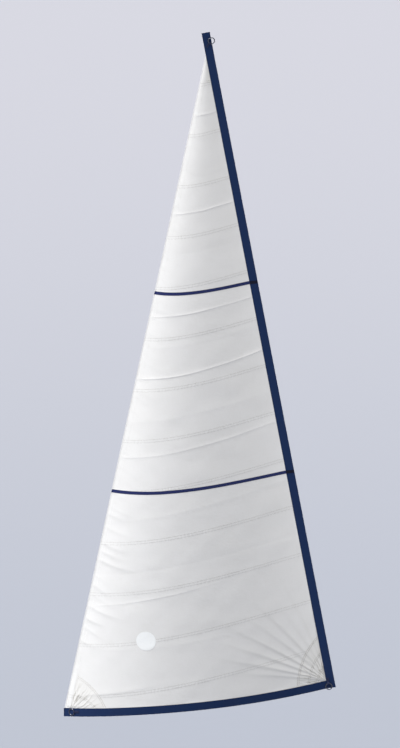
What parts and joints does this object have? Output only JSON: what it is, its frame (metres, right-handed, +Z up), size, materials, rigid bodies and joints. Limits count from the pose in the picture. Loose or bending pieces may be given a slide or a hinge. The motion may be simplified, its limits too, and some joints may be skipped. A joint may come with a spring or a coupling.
{
  "type": "genoa headsail",
  "caption": "Cambered cross-cut headsail of lapped cloth panels with taped edges, patched corners, draft stripes and a hinged ring on webbing at each corner.",
  "frame": {"origin": "centre of the head ring, where the halyard holds the sail", "axes": "+Z up towards the masthead, +X from the luff towards the leech, -Y out of the face that swells, which the picture shows"},
  "size_m": [2.3122, 0.3051, 6.1875],
  "materials": {
    "sailcloth": "white woven polyester sailcloth, resin finished, with a soft sheen",
    "edge_tape": "navy woven polyester tape, matt",
    "stripe_tape": "violet navy adhesive sail tape, slightly glossy",
    "rope": "white braided rope, hidden in the luff tape",
    "webbing": "dark navy woven webbing",
    "ring_steel": "polished stainless steel wire, lightly worn"
  },
  "bodies": {
    "sail": {"panel_01": "sailcloth", "panel_02": "sailcloth", "panel_03": "sailcloth", "panel_04": "sailcloth", "panel_05": "sailcloth", "panel_06": "sailcloth", "panel_07": "sailcloth", "panel_08": "sailcloth", "panel_09": "sailcloth", "panel_10": "sailcloth", "panel_11": "sailcloth", "panel_12": "sailcloth", "panel_13": "sailcloth", "panel_14": "sailcloth", "head_patch_1": "sailcloth", "head_patch_back": "sailcloth", "tack_patch_1": "sailcloth", "tack_patch_2": "sailcloth", "tack_patch_back": "sailcloth", "clew_patch_1": "sailcloth", "clew_patch_2": "sailcloth", "clew_patch_3": "sailcloth", "clew_patch_back": "sailcloth", "leech_tape": "edge_tape", "foot_tape": "edge_tape", "luff_tape": "sailcloth", "luff_rope": "rope", "upper_stripe_front": "stripe_tape", "upper_stripe_back": "stripe_tape", "lower_stripe_front": "stripe_tape", "lower_stripe_back": "stripe_tape", "round_patch": "sailcloth", "head_becket": "webbing", "tack_becket": "webbing", "clew_becket": "webbing"},
    "head_ring": {"head_ring": "ring_steel"},
    "tack_ring": {"tack_ring": "ring_steel"},
    "clew_ring": {"clew_ring": "ring_steel"}
  },
  "joints": [
    {"name": "head_ring_swing", "type": "hinge", "parent": "sail", "child": "head_ring", "pos_m": [-0.01472, -0.00139, -0.02121], "axis": [0.8216, 0, -0.57], "range_deg": [0, 170]},
    {"name": "tack_ring_swing", "type": "hinge", "parent": "sail", "child": "tack_ring", "pos_m": [-1.16854, -0.05812, -6.05129], "axis": [-0.1105, 0.2238, 0.9684], "range_deg": [0, 170]},
    {"name": "clew_ring_swing", "type": "hinge", "parent": "sail", "child": "clew_ring", "pos_m": [0.99452, -0.00299, -5.81366], "axis": [-0.984, 0, -0.1779], "range_deg": [0, 170]}
  ]
}
